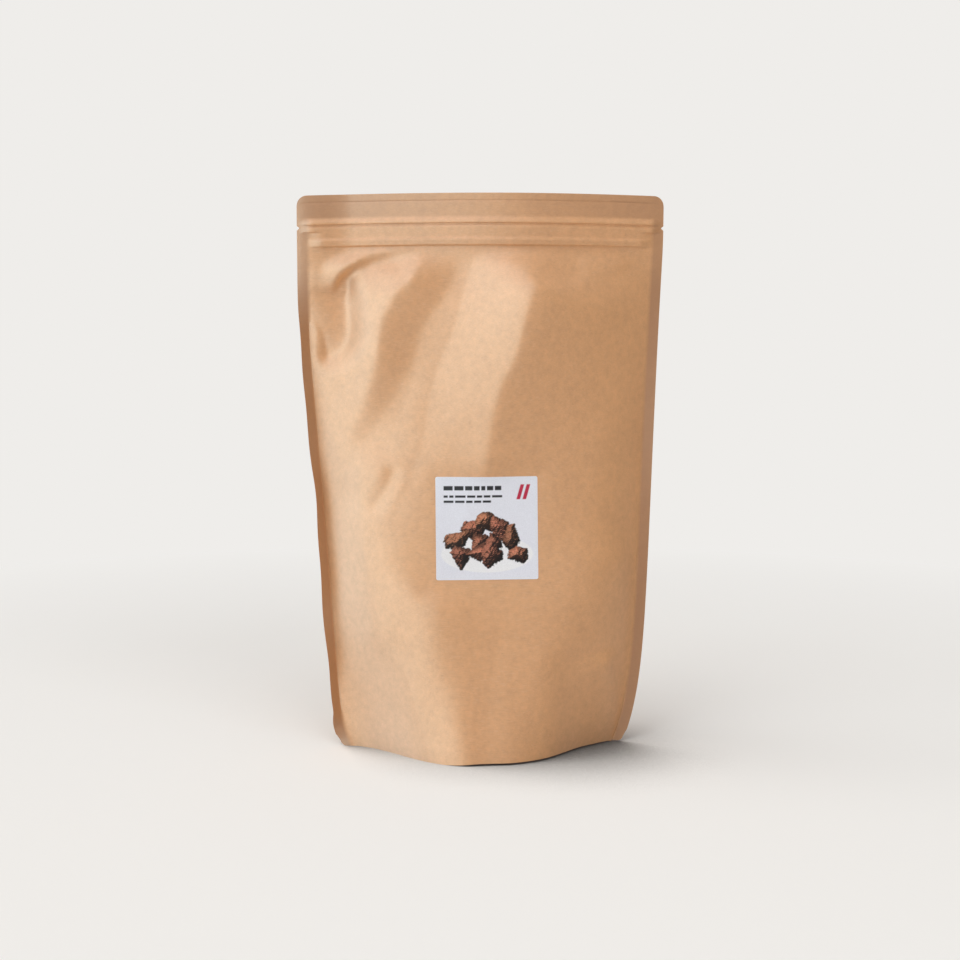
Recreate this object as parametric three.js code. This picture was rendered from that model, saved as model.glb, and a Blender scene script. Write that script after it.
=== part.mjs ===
// A kraft-paper stand-up pouch of sugar lumps, full and shut, with a square paper label on its front.
// Millimetres. It stands on Z = 0 on the rim and belly of its gusset base, its front faces -Y,
// and its two side seams lie in the plane Y = 0, equally far from X = 0 at the top.
import * as THREE from "three";

// Driving sizes
const WIDTH = 200; // across the flat top, seam edge to seam edge
const HEIGHT = 305; // floor to the middle of the top edge
const SEAM = 6; // width of each side seam
const FILM = 1; // two pressed walls, as in the seams and the header
const FOOT_DEPTH = 50; // how far the base's front and back rims stand from the seams' plane
const FOOT_LEVEL = 0.1; // share of the rim, out from the middle, that runs straight across
const WALL_LEAN = 0.15; // how much each wall leans in for each millimetre that it rises
const LABEL_SIDE = 55;
const LABEL_THICK = 0.3;
const LABEL_GAP = 0.3; // clearance between the label and the wall behind it

// Places on the pouch, as heights above the floor
const HALF = WIDTH / 2;
const ZIP_FOOT = HEIGHT - 29; // the body ends here and the flat header starts
const NECK = ZIP_FOOT - 59; // from here up the walls close towards the zip
const LABEL_CENTRE = { x: 0.5, z: 126 };

// Outline details
const TOP_ARCH = 1.6; // the top edge is that much lower at the seams
const TOP_CORNER = 5.5;
const BOTTOM_CORNER = 4.5;
const NOTCH = { below: 17.4, deep: 1.3, half: 1.1 };
const LEFT_FLANGE_TURN = THREE.MathUtils.degToRad(32); // the left seam is bent towards the front

// How far each seam draws in, because the bulging walls take up width: body is the share that
// fades out at the height reach, corner the share of the gusset's corner, gone a few fades up.
const LEFT_DRAW = { body: 15.5, reach: 225, power: 1.25, corner: 4.5, fade: 15 };
const RIGHT_DRAW = { body: 7.2, reach: 280, power: 2, corner: 13, fade: 33 };

// Header relief on both faces, as millimetres below the top edge and millimetres proud:
// the top seal, the ridge and groove of the tear line, and the zip with its fine lower ridge.
const HEADER_RELIEF = [
  [0, 0], [TOP_CORNER, 0], [12.6, 0.1], [15.4, 1], [16.2, 0.2], [NOTCH.below, 0.4], [18.4, 0.9],
  [23.2, 1], [24.8, 1.7], [27.6, 1.5], [29, 0.8],
];

// Base, seen from below: a standing rim, a groove inside it, and the gusset's belly on the floor
const RIM = 0.9;
const GROOVE = { starts: 2.2, ends: 6, depth: 3, belly: 10 };
const CORNER_LIFT = 7; // the gusset rises to that height where it runs into the corners

// Grid
const BODY_ROWS = 30;
const WALL_COLUMNS = 36;
const FLANGE_COLUMNS = 3;
const LABEL_STEPS = 12;
const PATH_STEPS = 20;

// Folds and dents, in the wall's own X and Z, seen from the front for both walls. A fold is a
// crease along a path: left and right are the widths of its two slopes and crest how round it is.
const FRONT_FOLDS = [
  // the long keel from under the zip, behind the label and down to the base
  {
    path: [[35, 276], [26, 246], [14, 217], [3, 184], [-3, 156], [-16, 129], [-28, 96], [-29, 50], [-26, -20]],
    height: 4.2, left: 34, right: 46, crest: 0.22,
  },
  // the ridge and the valley that bound the slanting dark trough left of the keel
  {
    path: [[-38, 272], [-50, 246], [-60, 222], [-68, 186], [-70, 160]],
    height: 3.2, left: 14, right: 24, crest: 0.25,
  },
  {
    path: [[-8, 268], [-16, 243], [-28, 214], [-50, 182], [-64, 160]],
    height: -3, left: 22, right: 20, crest: 0.3,
  },
  // the crescent under the left end of the zip
  { path: [[-40, 275], [-62, 270], [-78, 262], [-86, 248]], height: 2.8, left: 9, right: 10, crest: 0.3 },
  { path: [[-42, 267], [-60, 263], [-70, 256], [-74, 244]], height: -2.4, left: 10, right: 9, crest: 0.3 },
  // a short crease left of the label
  { path: [[-47, 160], [-54, 146], [-63, 132]], height: -1, left: 6, right: 6, crest: 0.3 },
  // the lower right corner, where the wall turns sharply into the seam
  { path: [[60, 78], [68, 44], [78, 4], [80, -14]], height: 4, left: 24, right: 13, crest: 0.25 },
  // soft upright waves in the lower right wall
  { path: [[30, 70], [31, 30], [33, -14]], height: 1, left: 12, right: 10, crest: 0.4 },
  { path: [[48, 64], [50, 26], [52, -14]], height: -1, left: 11, right: 11, crest: 0.4 },
];
const FRONT_DENTS = [
  { x: -77, z: 232, wide: 17, tall: 22, height: -3.4 },
  { x: -62, z: 254, wide: 12, tall: 12, height: 1.6 },
  { x: 66, z: 268, wide: 16, tall: 9, height: 1.2 },
  { x: 40, z: 262, wide: 18, tall: 8, height: -1.2 },
];
const BACK_FOLDS = [
  {
    path: [[-30, 276], [-20, 236], [-4, 190], [6, 140], [4, 80], [0, -20]],
    height: 3.6, left: 40, right: 34, crest: 0.25,
  },
  { path: [[58, 274], [48, 240], [50, 205], [66, 172]], height: -3, left: 20, right: 16, crest: 0.3 },
  { path: [[72, 268], [70, 236], [74, 200]], height: 2.4, left: 12, right: 14, crest: 0.3 },
  { path: [[-72, 262], [-58, 232], [-60, 196], [-70, 168]], height: -2.6, left: 18, right: 16, crest: 0.3 },
  { path: [[-62, 80], [-70, 44], [-80, 4], [-82, -14]], height: 3.6, left: 13, right: 24, crest: 0.25 },
  { path: [[30, 74], [34, 30], [36, -14]], height: 1.6, left: 18, right: 16, crest: 0.35 },
];
const BACK_DENTS = [
  { x: 76, z: 224, wide: 14, tall: 24, height: -2.6 },
  { x: -20, z: 258, wide: 26, tall: 10, height: -1.4 },
];

// Small curves that the shape is made of

// from 0 at low to 1 at high, level at both ends
function ramp(low, high, value) {
  return THREE.MathUtils.smoothstep(value, low, high);
}

// value where it is positive, eased to 0 where it is negative
function positive(value) {
  const ease = 0.05;
  return (value + Math.hypot(value, ease)) / 2;
}

// straight lines through a list of [place, amount], with the places in rising order
function alongTable(table, place) {
  let k = 1;
  while (k < table.length - 1 && table[k][0] < place) k += 1;
  const [from, low] = table[k - 1];
  const [to, high] = table[k];
  return THREE.MathUtils.lerp(low, high, THREE.MathUtils.clamp((place - from) / (to - from), 0, 1));
}

// Folds

// the smooth path of a fold as a list of short straight pieces
function foldSegments(path) {
  const curve = new THREE.CatmullRomCurve3(path.map(([x, z]) => new THREE.Vector3(x, z, 0)));
  const points = curve.getPoints(PATH_STEPS);
  return points.slice(1).map((end, k) => [points[k], end]);
}

function withSegments(folds) {
  return folds.map((fold) => ({ ...fold, segments: foldSegments(fold.path) }));
}

// the nearest place on the path: side is the distance, positive towards +X of a falling path,
// and run goes from 0 at its first end to 1 at its last
function nearestOnPath(segments, x, z) {
  let best = { far: Infinity, side: 0, run: 0 };
  segments.forEach(([a, b], k) => {
    const dx = b.x - a.x;
    const dz = b.y - a.y;
    const part = THREE.MathUtils.clamp(((x - a.x) * dx + (z - a.y) * dz) / (dx * dx + dz * dz), 0, 1);
    const far = Math.hypot(x - a.x - part * dx, z - a.y - part * dz);
    if (far < best.far) {
      const across = dx * (z - a.y) - dz * (x - a.x);
      best = { far, side: Math.sign(across) * far, run: (k + part) / segments.length };
    }
  });
  return best;
}

// a crease with a round crest and hollow slopes that fades out at both ends of its path
function foldAt(fold, x, z) {
  const near = nearestOnPath(fold.segments, x, z);
  const slope = near.side < 0 ? fold.left : fold.right;
  const rise = 1 + fold.crest - Math.hypot(near.side / slope, fold.crest);
  const ends = ramp(0, 0.18, near.run) * ramp(0, 0.18, 1 - near.run);
  return fold.height * ends * Math.max(0, rise) ** 1.5;
}

// a round hollow or swelling
function dentAt(dent, x, z) {
  const out = ((x - dent.x) / dent.wide) ** 2 + ((z - dent.z) / dent.tall) ** 2;
  return dent.height * Math.max(0, 1 - out) ** 2;
}

// The two walls

const FRONT = {
  facing: -1,
  folds: withSegments(FRONT_FOLDS),
  dents: FRONT_DENTS,
  footPower: { left: 0.9, right: 0.7 },
};
const BACK = {
  facing: 1,
  folds: withSegments(BACK_FOLDS),
  dents: BACK_DENTS,
  footPower: { left: 0.8, right: 0.8 },
};

// distance from X = 0 to a seam's outer edge
function seamReach(draw, z) {
  const body = draw.body * positive(1 - (Math.max(z, 0) / draw.reach) ** draw.power);
  return HALF - body - draw.corner * Math.exp(-z / draw.fade);
}

// how far the middle of a wall stands out from the seams' plane
function wallDepth(z) {
  const closing = THREE.MathUtils.clamp((z - NECK) / (ZIP_FOOT - NECK), 0, 1) ** 3;
  return (FOOT_DEPTH - WALL_LEAN * z) * (1 - closing);
}

// the wall's section from 1 in the middle to 0 at the seam: level and then an S-shaped flank at
// the foot, which the gusset holds, and a full, round one in the body above it
function bulge(out, z, power) {
  const flank = Math.min(1, (1 - out) / (1 - FOOT_LEVEL));
  const foot = Math.sin((flank * Math.PI) / 2) ** (2 * power);
  const body = Math.max(0, 1 - out ** 2.4) ** 0.85;
  return THREE.MathUtils.lerp(foot, body, ramp(0, 110, z));
}

// 1 over the label, which stiffens the wall behind it, and 0 a little way outside it
function underLabel(x, z) {
  const half = LABEL_SIDE / 2;
  const away = Math.max(Math.abs(x - LABEL_CENTRE.x), Math.abs(z - LABEL_CENTRE.z)) - half;
  return 1 - ramp(0, 14, away);
}

// how far the outside of a wall stands from the seams' plane, at a place between the seams
function wallOut(wall, x, z) {
  const reach = seamReach(x < 0 ? LEFT_DRAW : RIGHT_DRAW, z) - SEAM;
  const out = Math.min(1, Math.abs(x) / reach);
  const power = x < 0 ? wall.footPower.left : wall.footPower.right;
  let relief = 0;
  for (const fold of wall.folds) relief += foldAt(fold, x, z);
  for (const dent of wall.dents) relief += dentAt(dent, x, z);
  const room = (1 - out ** 6) * ramp(0, 12, ZIP_FOOT + 2 - z);
  const stiff = wall === FRONT ? 1 - 0.85 * underLabel(x, z) : 1;
  const body = wallDepth(z) * bulge(out, z, power) + relief * room * stiff;
  const below = HEIGHT - z;
  const header = alongTable(HEADER_RELIEF, below) * ramp(0, 3, HEADER_RELIEF.at(-1)[0] + 3 - below);
  return FILM / 2 + Math.max(0, body) + header * (1 - ramp(0.94, 1, out));
}

// Grid lines

// signed places across a wall: whole numbers -1 and 1 are the seams' outer edges, and
// the seam lines are at -SEAM_LINE and SEAM_LINE
const SEAM_LINE = 1 - SEAM / HALF;
function columnPlaces() {
  const places = [];
  for (let k = 0; k < FLANGE_COLUMNS; k += 1) {
    places.push(-1 + ((1 - SEAM_LINE) * (1 - Math.cos((k / FLANGE_COLUMNS) * (Math.PI / 2)))));
  }
  for (let k = 0; k <= WALL_COLUMNS; k += 1) places.push(SEAM_LINE * (-1 + (2 * k) / WALL_COLUMNS));
  for (let k = FLANGE_COLUMNS - 1; k >= 0; k -= 1) places.push(-places[k]);
  return places;
}

// heights of the rows, closer together at the foot, then one for each line of the header
function rowHeights() {
  const heights = [];
  for (let k = 0; k < BODY_ROWS; k += 1) heights.push((ZIP_FOOT - 3) * (k / BODY_ROWS) ** 1.12);
  const lines = HEADER_RELIEF.map(([below]) => below);
  lines.push(NOTCH.below - NOTCH.half, NOTCH.below + NOTCH.half);
  lines.sort((a, b) => b - a);
  return heights.concat(lines.map((below) => HEIGHT - below));
}

// how far a round corner of the given size cuts in at a distance from the side edge
function cornerCut(size, fromEdge) {
  const left = Math.max(0, size - fromEdge);
  return size - Math.sqrt(Math.max(0, size * size - left * left));
}

// The place of a grid point: across is a signed place from columnPlaces, z its nominal height
function wallPoint(wall, across, z) {
  const draw = across < 0 ? LEFT_DRAW : RIGHT_DRAW;
  const side = Math.sign(across);
  const edge = seamReach(draw, z);
  const seamLine = edge - SEAM;
  const beyond = Math.max(0, Math.abs(across) - SEAM_LINE) * HALF;
  const notchShare = 1 - Math.abs(HEIGHT - z - NOTCH.below) / NOTCH.half;
  const notch = beyond > 0.99 * SEAM ? NOTCH.deep * ramp(0, 1, notchShare) : 0;
  const turn = side < 0 ? LEFT_FLANGE_TURN * ramp(20, 70, z) * ramp(0, 55, ZIP_FOOT - 10 - z) : 0;
  const inner = (Math.min(Math.abs(across), SEAM_LINE) / SEAM_LINE) * seamLine;
  const x = side * (inner + (beyond - notch) * Math.cos(turn));
  const out = wallOut(wall, x, z);
  const fromEdge = SEAM - beyond + (SEAM_LINE - Math.min(Math.abs(across), SEAM_LINE)) * HALF;
  const arch = TOP_ARCH * (x / HALF) ** 2 * ramp(200, ZIP_FOOT, z);
  const topCut = cornerCut(TOP_CORNER, fromEdge) * ramp(HEIGHT - 2.2 * TOP_CORNER, HEIGHT, z);
  const bottomCut = cornerCut(BOTTOM_CORNER, fromEdge) * (1 - ramp(0, 2.5 * BOTTOM_CORNER, z));
  const y = wall.facing * (beyond > 0 ? FILM / 2 : out) - beyond * Math.sin(turn);
  return [x, y, z - arch - topCut + bottomCut];
}

// Closed meshes

// A mesh under construction: add(point) gives a vertex's number, and quad and triangle take
// the numbers anticlockwise as seen from outside.
class Faces {
  constructor() {
    this.points = [];
    this.triangles = [];
  }

  add(point) {
    this.points.push(...point);
    return this.points.length / 3 - 1;
  }

  triangle(a, b, c) {
    this.triangles.push(a, b, c);
  }

  quad(a, b, c, d) {
    this.triangle(a, b, c);
    this.triangle(a, c, d);
  }

  geometry() {
    const geometry = new THREE.BufferGeometry();
    geometry.setAttribute("position", new THREE.Float32BufferAttribute(this.points, 3));
    geometry.setIndex(this.triangles);
    geometry.computeVertexNormals();
    return geometry;
  }
}

// joins two rows of equal length whose points run left to right, the lower one first
function joinRows(faces, lower, upper, flip) {
  for (let k = 0; k + 1 < lower.length; k += 1) {
    if (flip) faces.quad(lower[k + 1], lower[k], upper[k], upper[k + 1]);
    else faces.quad(lower[k], lower[k + 1], upper[k + 1], upper[k]);
  }
}

// heights and insets of the base between its front and back rims at one column
function baseProfile(halfDepth, lift) {
  const fit = Math.min(1, halfDepth / (GROOVE.belly + 1));
  const up = Math.max(lift, GROOVE.depth * fit);
  const side = [[RIM * fit, 0], [GROOVE.starts * fit, up], [GROOVE.ends * fit, up], [GROOVE.belly * fit, lift]];
  return side;
}

// the gusset under the pouch, from the seam line on the left to the one on the right
function addBase(faces, frontRim, backRim, places) {
  const first = FLANGE_COLUMNS;
  const last = places.length - 1 - FLANGE_COLUMNS;
  const place = (index, axis) => faces.points[3 * index + axis];
  let before = null;
  for (let k = first + 1; k < last; k += 1) {
    const x = place(frontRim[k], 0);
    const yFront = place(frontRim[k], 1);
    const yBack = place(backRim[k], 1);
    const lift = CORNER_LIFT * ramp(0.6, 1, Math.abs(places[k]) / SEAM_LINE);
    const profile = baseProfile((yBack - yFront) / 2, lift);
    const front = profile.map(([inset, z]) => faces.add([x, yFront + inset, z]));
    const back = profile.map(([inset, z]) => faces.add([x, yBack - inset, z])).reverse();
    const line = [frontRim[k], ...front, ...back, backRim[k]];
    if (before) joinRows(faces, before, line, false);
    else closeCorner(faces, frontRim[first], backRim[first], line, true);
    before = line;
  }
  closeCorner(faces, frontRim[last], backRim[last], before, false);
}

// fills the base's last triangle at a seam line, whose front and back points are nearly together
function closeCorner(faces, front, back, line, flip) {
  const add = (a, b, c) => (flip ? faces.triangle(a, c, b) : faces.triangle(a, b, c));
  const middle = line.length / 2;
  for (let k = 0; k + 1 < line.length; k += 1) add(k < middle ? front : back, line[k], line[k + 1]);
  add(front, line[middle], back);
}

function pouchGeometry() {
  const faces = new Faces();
  const places = columnPlaces();
  const rows = rowHeights();
  const grid = (wall) => rows.map((z) => places.map((place) => faces.add(wallPoint(wall, place, z))));
  const front = grid(FRONT);
  const back = grid(BACK);
  const end = places.length - 1;
  for (let r = 0; r + 1 < rows.length; r += 1) {
    joinRows(faces, front[r], front[r + 1], false);
    joinRows(faces, back[r], back[r + 1], true);
    faces.quad(back[r][0], front[r][0], front[r + 1][0], back[r + 1][0]);
    faces.quad(front[r][end], back[r][end], back[r + 1][end], front[r + 1][end]);
  }
  joinRows(faces, front[rows.length - 1], back[rows.length - 1], false);
  for (const [from, to] of [[0, FLANGE_COLUMNS], [end - FLANGE_COLUMNS, end]]) {
    joinRows(faces, back[0].slice(from, to + 1), front[0].slice(from, to + 1), false);
  }
  addBase(faces, front[0], back[0], places);
  return faces.geometry();
}

// a square of even thickness that follows the wall in front of which it lies
function labelGeometry() {
  const faces = new Faces();
  const layer = (gap) => {
    const lines = [];
    for (let r = 0; r <= LABEL_STEPS; r += 1) {
      const z = LABEL_CENTRE.z + LABEL_SIDE * (r / LABEL_STEPS - 0.5);
      const line = [];
      for (let k = 0; k <= LABEL_STEPS; k += 1) {
        const x = LABEL_CENTRE.x + LABEL_SIDE * (k / LABEL_STEPS - 0.5);
        line.push(faces.add([x, -wallOut(FRONT, x, z) - gap, z]));
      }
      lines.push(line);
    }
    return lines;
  };
  const inner = layer(LABEL_GAP);
  const outer = layer(LABEL_GAP + LABEL_THICK);
  const last = LABEL_STEPS;
  for (let r = 0; r < last; r += 1) {
    joinRows(faces, outer[r], outer[r + 1], false);
    joinRows(faces, inner[r], inner[r + 1], true);
    faces.quad(inner[r][0], outer[r][0], outer[r + 1][0], inner[r + 1][0]);
    faces.quad(outer[r][last], inner[r][last], inner[r + 1][last], outer[r + 1][last]);
  }
  joinRows(faces, outer[last], inner[last], false);
  joinRows(faces, inner[0], outer[0], false);
  return faces.geometry();
}

function namedMesh(name, geometry, color, roughness) {
  const mesh = new THREE.Mesh(geometry, new THREE.MeshStandardMaterial({ color, roughness, metalness: 0 }));
  mesh.name = name;
  return mesh;
}

const model = new THREE.Group();
model.add(namedMesh("pouch", pouchGeometry(), 0xc8966e, 0.5));
model.add(namedMesh("label", labelGeometry(), 0xdfe0e6, 0.45));

export default model;
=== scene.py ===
"""A full stand-up kraft-paper pouch of sugar with a square label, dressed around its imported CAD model.

The pouch is one closed numpy surface: two walls over a grid of places across and heights, joined
at the side seams, along the top edge and under the gusset base. The shape is worked out in
millimetres and turned into metres when a mesh is made.
"""
import math

import bpy
import numpy as np
from bpy.props import FloatProperty, FloatVectorProperty, IntProperty, PointerProperty
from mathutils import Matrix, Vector


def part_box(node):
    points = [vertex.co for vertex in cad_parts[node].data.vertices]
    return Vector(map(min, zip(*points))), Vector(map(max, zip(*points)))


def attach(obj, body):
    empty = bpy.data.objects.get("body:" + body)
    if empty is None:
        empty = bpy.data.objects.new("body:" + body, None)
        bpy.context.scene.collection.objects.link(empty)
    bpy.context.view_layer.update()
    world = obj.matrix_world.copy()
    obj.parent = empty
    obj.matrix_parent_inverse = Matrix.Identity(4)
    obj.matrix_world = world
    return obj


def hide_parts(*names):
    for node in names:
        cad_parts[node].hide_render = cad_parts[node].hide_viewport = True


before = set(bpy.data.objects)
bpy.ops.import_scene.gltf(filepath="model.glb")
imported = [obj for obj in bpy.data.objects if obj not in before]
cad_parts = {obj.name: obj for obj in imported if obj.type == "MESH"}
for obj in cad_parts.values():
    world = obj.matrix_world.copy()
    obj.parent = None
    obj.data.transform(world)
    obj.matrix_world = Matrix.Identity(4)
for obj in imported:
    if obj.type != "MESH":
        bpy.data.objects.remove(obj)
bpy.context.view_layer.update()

bl_info = {
    "name": "Sugar pouch",
    "version": (1, 0, 0),
    "blender": (4, 5, 0),
    "location": "3D view > Sidebar > Pouch",
    "description": "Builds a stand-up kraft-paper pouch of sugar, its label and a small studio",
    "category": "Add Mesh",
}

POUCH_LOW, POUCH_HIGH = (np.array(corner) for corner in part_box("pouch"))
LABEL_LOW, LABEL_HIGH = (np.array(corner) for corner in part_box("label"))
MM = 0.001

# Driving sizes and places in millimetres: the pouch's and the label's boxes come from the frame
HALF = (POUCH_HIGH[0] - POUCH_LOW[0]) / 2 / MM
HEIGHT = POUCH_HIGH[2] / MM
SEAM = 6.0
SEAM_LINE = 1 - SEAM / HALF
ZIP_FOOT = HEIGHT - 29.0
NECK = ZIP_FOOT - 59.0
FOOT_DEPTH = 50.0
FOOT_LEVEL = 0.1
WALL_LEAN = 0.15
LABEL_X = (LABEL_LOW[0] + LABEL_HIGH[0]) / 2 / MM
LABEL_Z = (LABEL_LOW[2] + LABEL_HIGH[2]) / 2 / MM
LABEL_SIDE = (LABEL_HIGH[0] - LABEL_LOW[0]) / MM

# The label flattens the folds behind it by a share, which fades from just inside to outside its edge
LABEL_STIFFNESS = 0.55
LABEL_FADE = (-8, 14)

# Up to this height the wall's section changes from the foot's to the body's
FOOT_SECTION_TOP = 110

# Outline details in millimetres. A side's outer edge is drawn in by its body, up to its reach, and
# at its foot by its corner, which fades upwards.
TOP_ARCH = 1.6
TOP_CORNER = 5.5
BOTTOM_CORNER = 3.0
NOTCH = {"below": 17.4, "deep": 1.3, "half": 1.3}
LEFT_DRAW = {"body": 15.5, "reach": 225, "power": 1.25, "corner": 5.8, "fade": 13}
RIGHT_DRAW = {"body": 7.2, "reach": 280, "power": 2, "corner": 13, "fade": 33}

# Header relief: millimetres below the top edge and millimetres proud
HEADER_LINES = [
    (0, 0), (3.5, 0), (4.1, -0.35), (4.9, 0), (12.4, 0.1), (13.2, 0.5), (15.0, 1.9),
    (15.8, 1.8), (16.3, 0.8), (16.8, 0.9), (17.8, 1.7), (18.5, 1.7), (22.9, 1.2), (23.4, 1.3),
    (24.5, 2.5), (25.1, 2.5), (27.5, 2.0), (28.2, 0.7), (29.3, 0.7), (33.5, 0),
]
TOP_SEAL = 12.6

# The lines in the upper 20 mm run on into the seams, and the zip ends at their inner edges: each
# fades between two shares of the way to a seam
SEAL_LINES_END = 20.0
SEAL_LINES_FADE = (1.055, 0.975)
ZIP_FADE = (1.01, 0.91)

# How strongly the films are sealed: the seams beside the header, the top strip at its middle, whose
# place across is given, and how much more for each half width from there
SEALED = {"beside_header": 0.7, "top": 0.18, "middle": 0.1, "more": 0.6}

# Waves in the seams' bend: size, millimetres for one radian, and phase
LEFT_SEAM_WAVES = ((0.22, 17, 0), (0.12, 7.3, 1))
RIGHT_SEAM_WAVES = ((0.1, 31, 2),)

# The bow of the pouch's upper part: its crest's place across and the height where it starts
BOW_CREST = 20.0
BOW_START = 150.0

# Base, seen from below: millimetres in from a wall, and shares of the groove's depth, from the rim
# through the groove to the belly
GROOVE_DEPTH = 3.0
GROOVE_SECTION = [
    (0.8, 0), (1.3, 0.35), (2.2, 0.85), (3.2, 1.0), (4.6, 1.0), (6.0, 0.9), (7.2, 0.55), (8.6, 0.15),
    (10.0, 0),
]
BELLY_ROWS = 6
CORNER_LIFT = 4.0

# The front rim hangs above the floor between two places across, fading in and out
FRONT_LIFT = 1.2
LIFT_FADE_IN = (-26, -4)
LIFT_FADE_OUT = (84, 64)

# How far the thin line between the walls lies inside the cut edge, in millimetres
EDGE_SINK = 0.25
SHARP_ANGLE = math.radians(48)

# Folds and dents in a wall's own X and Z, seen from the front for both walls. A fold is a crease
# along a path: left and right are the widths of its slopes, and crest is how round it is.
FRONT_FOLDS = [
    # the long keel from under the zip to behind the label, and its weaker end down to the base
    {"path": [(38, 277), (29, 258), (23, 240), (17, 218), (9, 201), (4, 180), (0, 156), (-12, 129),
              (-20, 96)],
     "height": 11.8, "last": 4.6, "left": 34, "right": 50, "crest": 0.07, "power": 1.3},
    {"path": [(-22, 98), (-32, 68), (-38, 36), (-39, -30)],
     "height": 4.5, "left": 30, "right": 32, "crest": 0.25, "power": 1.3},
    # the ridge and the valley that bound the slanting trough left of the keel
    {"path": [(-32, 276), (-38, 260), (-50, 247), (-56, 236), (-58, 216), (-64, 196), (-73, 172),
              (-81, 156)],
     "height": 4.8, "last": 1.3, "left": 14, "right": 19, "crest": 0.14},
    {"path": [(-6, 276), (-13, 262), (-25, 245), (-32, 230), (-40, 212), (-50, 192), (-63, 172),
              (-72, 158)],
     "height": -2.6, "left": 18, "right": 30, "crest": 0.25},
    # the crescent under the left end of the zip, and the groove along its inner side
    {"path": [(-34, 277), (-50, 275), (-64, 271), (-74, 265), (-79, 258), (-80, 250)],
     "height": 3.2, "left": 9, "right": 5, "crest": 0.2},
    {"path": [(-34, 273), (-50, 271), (-62, 267), (-71, 261.5), (-75.5, 255), (-77, 248)],
     "height": -2.2, "left": 5, "right": 9, "crest": 0.2},
    # the hollow near the left seam, with a steep rise right of it and below it
    {"path": [(-79, 267), (-75, 254), (-73, 242), (-73, 229), (-77, 221), (-84, 217.5), (-93, 217)],
     "height": -6.3, "left": 28, "right": 11, "crest": 0.12},
    # a soft hollow down the left flank
    {"path": [(-65, 222), (-68, 190), (-71, 160), (-76, 128)],
     "height": -1.8, "left": 18, "right": 30, "crest": 0.3},
    # a soft swelling between that hollow and the label, and a short crease beside it
    {"path": [(-65, 176), (-65, 130), (-62, 90), (-59, 52)],
     "height": 1.8, "left": 11, "right": 25, "crest": 0.3},
    {"path": [(-47, 160), (-54, 146), (-63, 132)], "height": -1.0, "left": 6, "right": 6, "crest": 0.3},
    # the lower right corner, where the wall turns sharply into the seam
    {"path": [(66, 58), (70, 38), (76, 10), (79, -12)],
     "height": 4.0, "left": 24, "right": 9, "crest": 0.08},
    # the lower right wall, which stays full up to its flank, and two soft upright waves in it
    {"path": [(72, 124), (74, 84), (76, 40), (78, -14)],
     "height": 3.8, "left": 45, "right": 14, "crest": 0.3},
    {"path": [(30, 70), (31, 30), (33, -14)], "height": 1.0, "left": 12, "right": 10, "crest": 0.4},
    {"path": [(48, 64), (50, 26), (52, -14)], "height": -1.0, "left": 11, "right": 11, "crest": 0.4},
]
FRONT_DENTS = [
    {"x": -58, "z": 257, "wide": 17, "tall": 13, "height": 1.4},
    {"x": -74, "z": 267, "wide": 14, "tall": 7, "height": 0.8},
    {"x": 66, "z": 268, "wide": 16, "tall": 9, "height": 1.2},
    {"x": 40, "z": 262, "wide": 18, "tall": 8, "height": -1.2},
]
BACK_FOLDS = [
    {"path": [(-30, 276), (-20, 236), (-4, 190), (6, 140), (4, 80), (0, -20)],
     "height": 3.6, "left": 40, "right": 34, "crest": 0.25},
    {"path": [(58, 274), (48, 240), (50, 205), (66, 172)],
     "height": -3.0, "left": 20, "right": 16, "crest": 0.3},
    {"path": [(72, 268), (70, 236), (74, 200)], "height": 2.4, "left": 12, "right": 14, "crest": 0.3},
    {"path": [(-72, 262), (-58, 232), (-60, 196), (-70, 168)],
     "height": -2.6, "left": 18, "right": 16, "crest": 0.3},
    {"path": [(-62, 80), (-70, 44), (-80, 4), (-82, -14)],
     "height": 3.6, "left": 13, "right": 24, "crest": 0.25},
    {"path": [(30, 74), (34, 30), (36, -14)], "height": 1.6, "left": 18, "right": 16, "crest": 0.35},
]
BACK_DENTS = [
    {"x": 76, "z": 224, "wide": 14, "tall": 24, "height": -2.6},
    {"x": -20, "z": 258, "wide": 26, "tall": 10, "height": -1.4},
]
PATH_STEPS = 24

# The print on the label, over places from -1 to 1. A line of bars has its top, height, start and end.
# The two accent strokes have the first one's middle, their step and their lean. A row of lumps has
# its number of lumps and its level, and the light on them comes from the upper left.
BAR_LINES = ((0.82, 0.08, -0.84, 0.20), (0.64, 0.04, -0.84, 0.30), (0.54, 0.04, -0.84, 0.02))
STROKE = {"u": 0.66, "v": 0.70, "step": 0.12, "lean": 0.3}
DISH = {"v": -0.5, "wide": 0.9, "tall": 0.36}
LUMP_ROWS = ((3, 0.06), (4, -0.24), (4, -0.55))
LUMP_PLANES = 7
PRINT_LIGHT = (-0.5, 0.62, 0.6)

# The studio, in metres: the height that the lights aim at, their widths and heights, and how far
# from the pouch the floor turns into a glow
AIM_HEIGHT = 0.13
KEY_SIZE = (3.4, 2.0)
WINDOW_SIZE = (6.4, 5.0)
FILL_SIZE = (2.0, 0.8)
FLOOR_GLOW = (0.35, 0.75)
FLOOR_RINGS = (1.0, 120.0, 250.0, 400.0, 600.0, 800.0)
FLOOR_CORNERS = 96


# Settings

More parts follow.
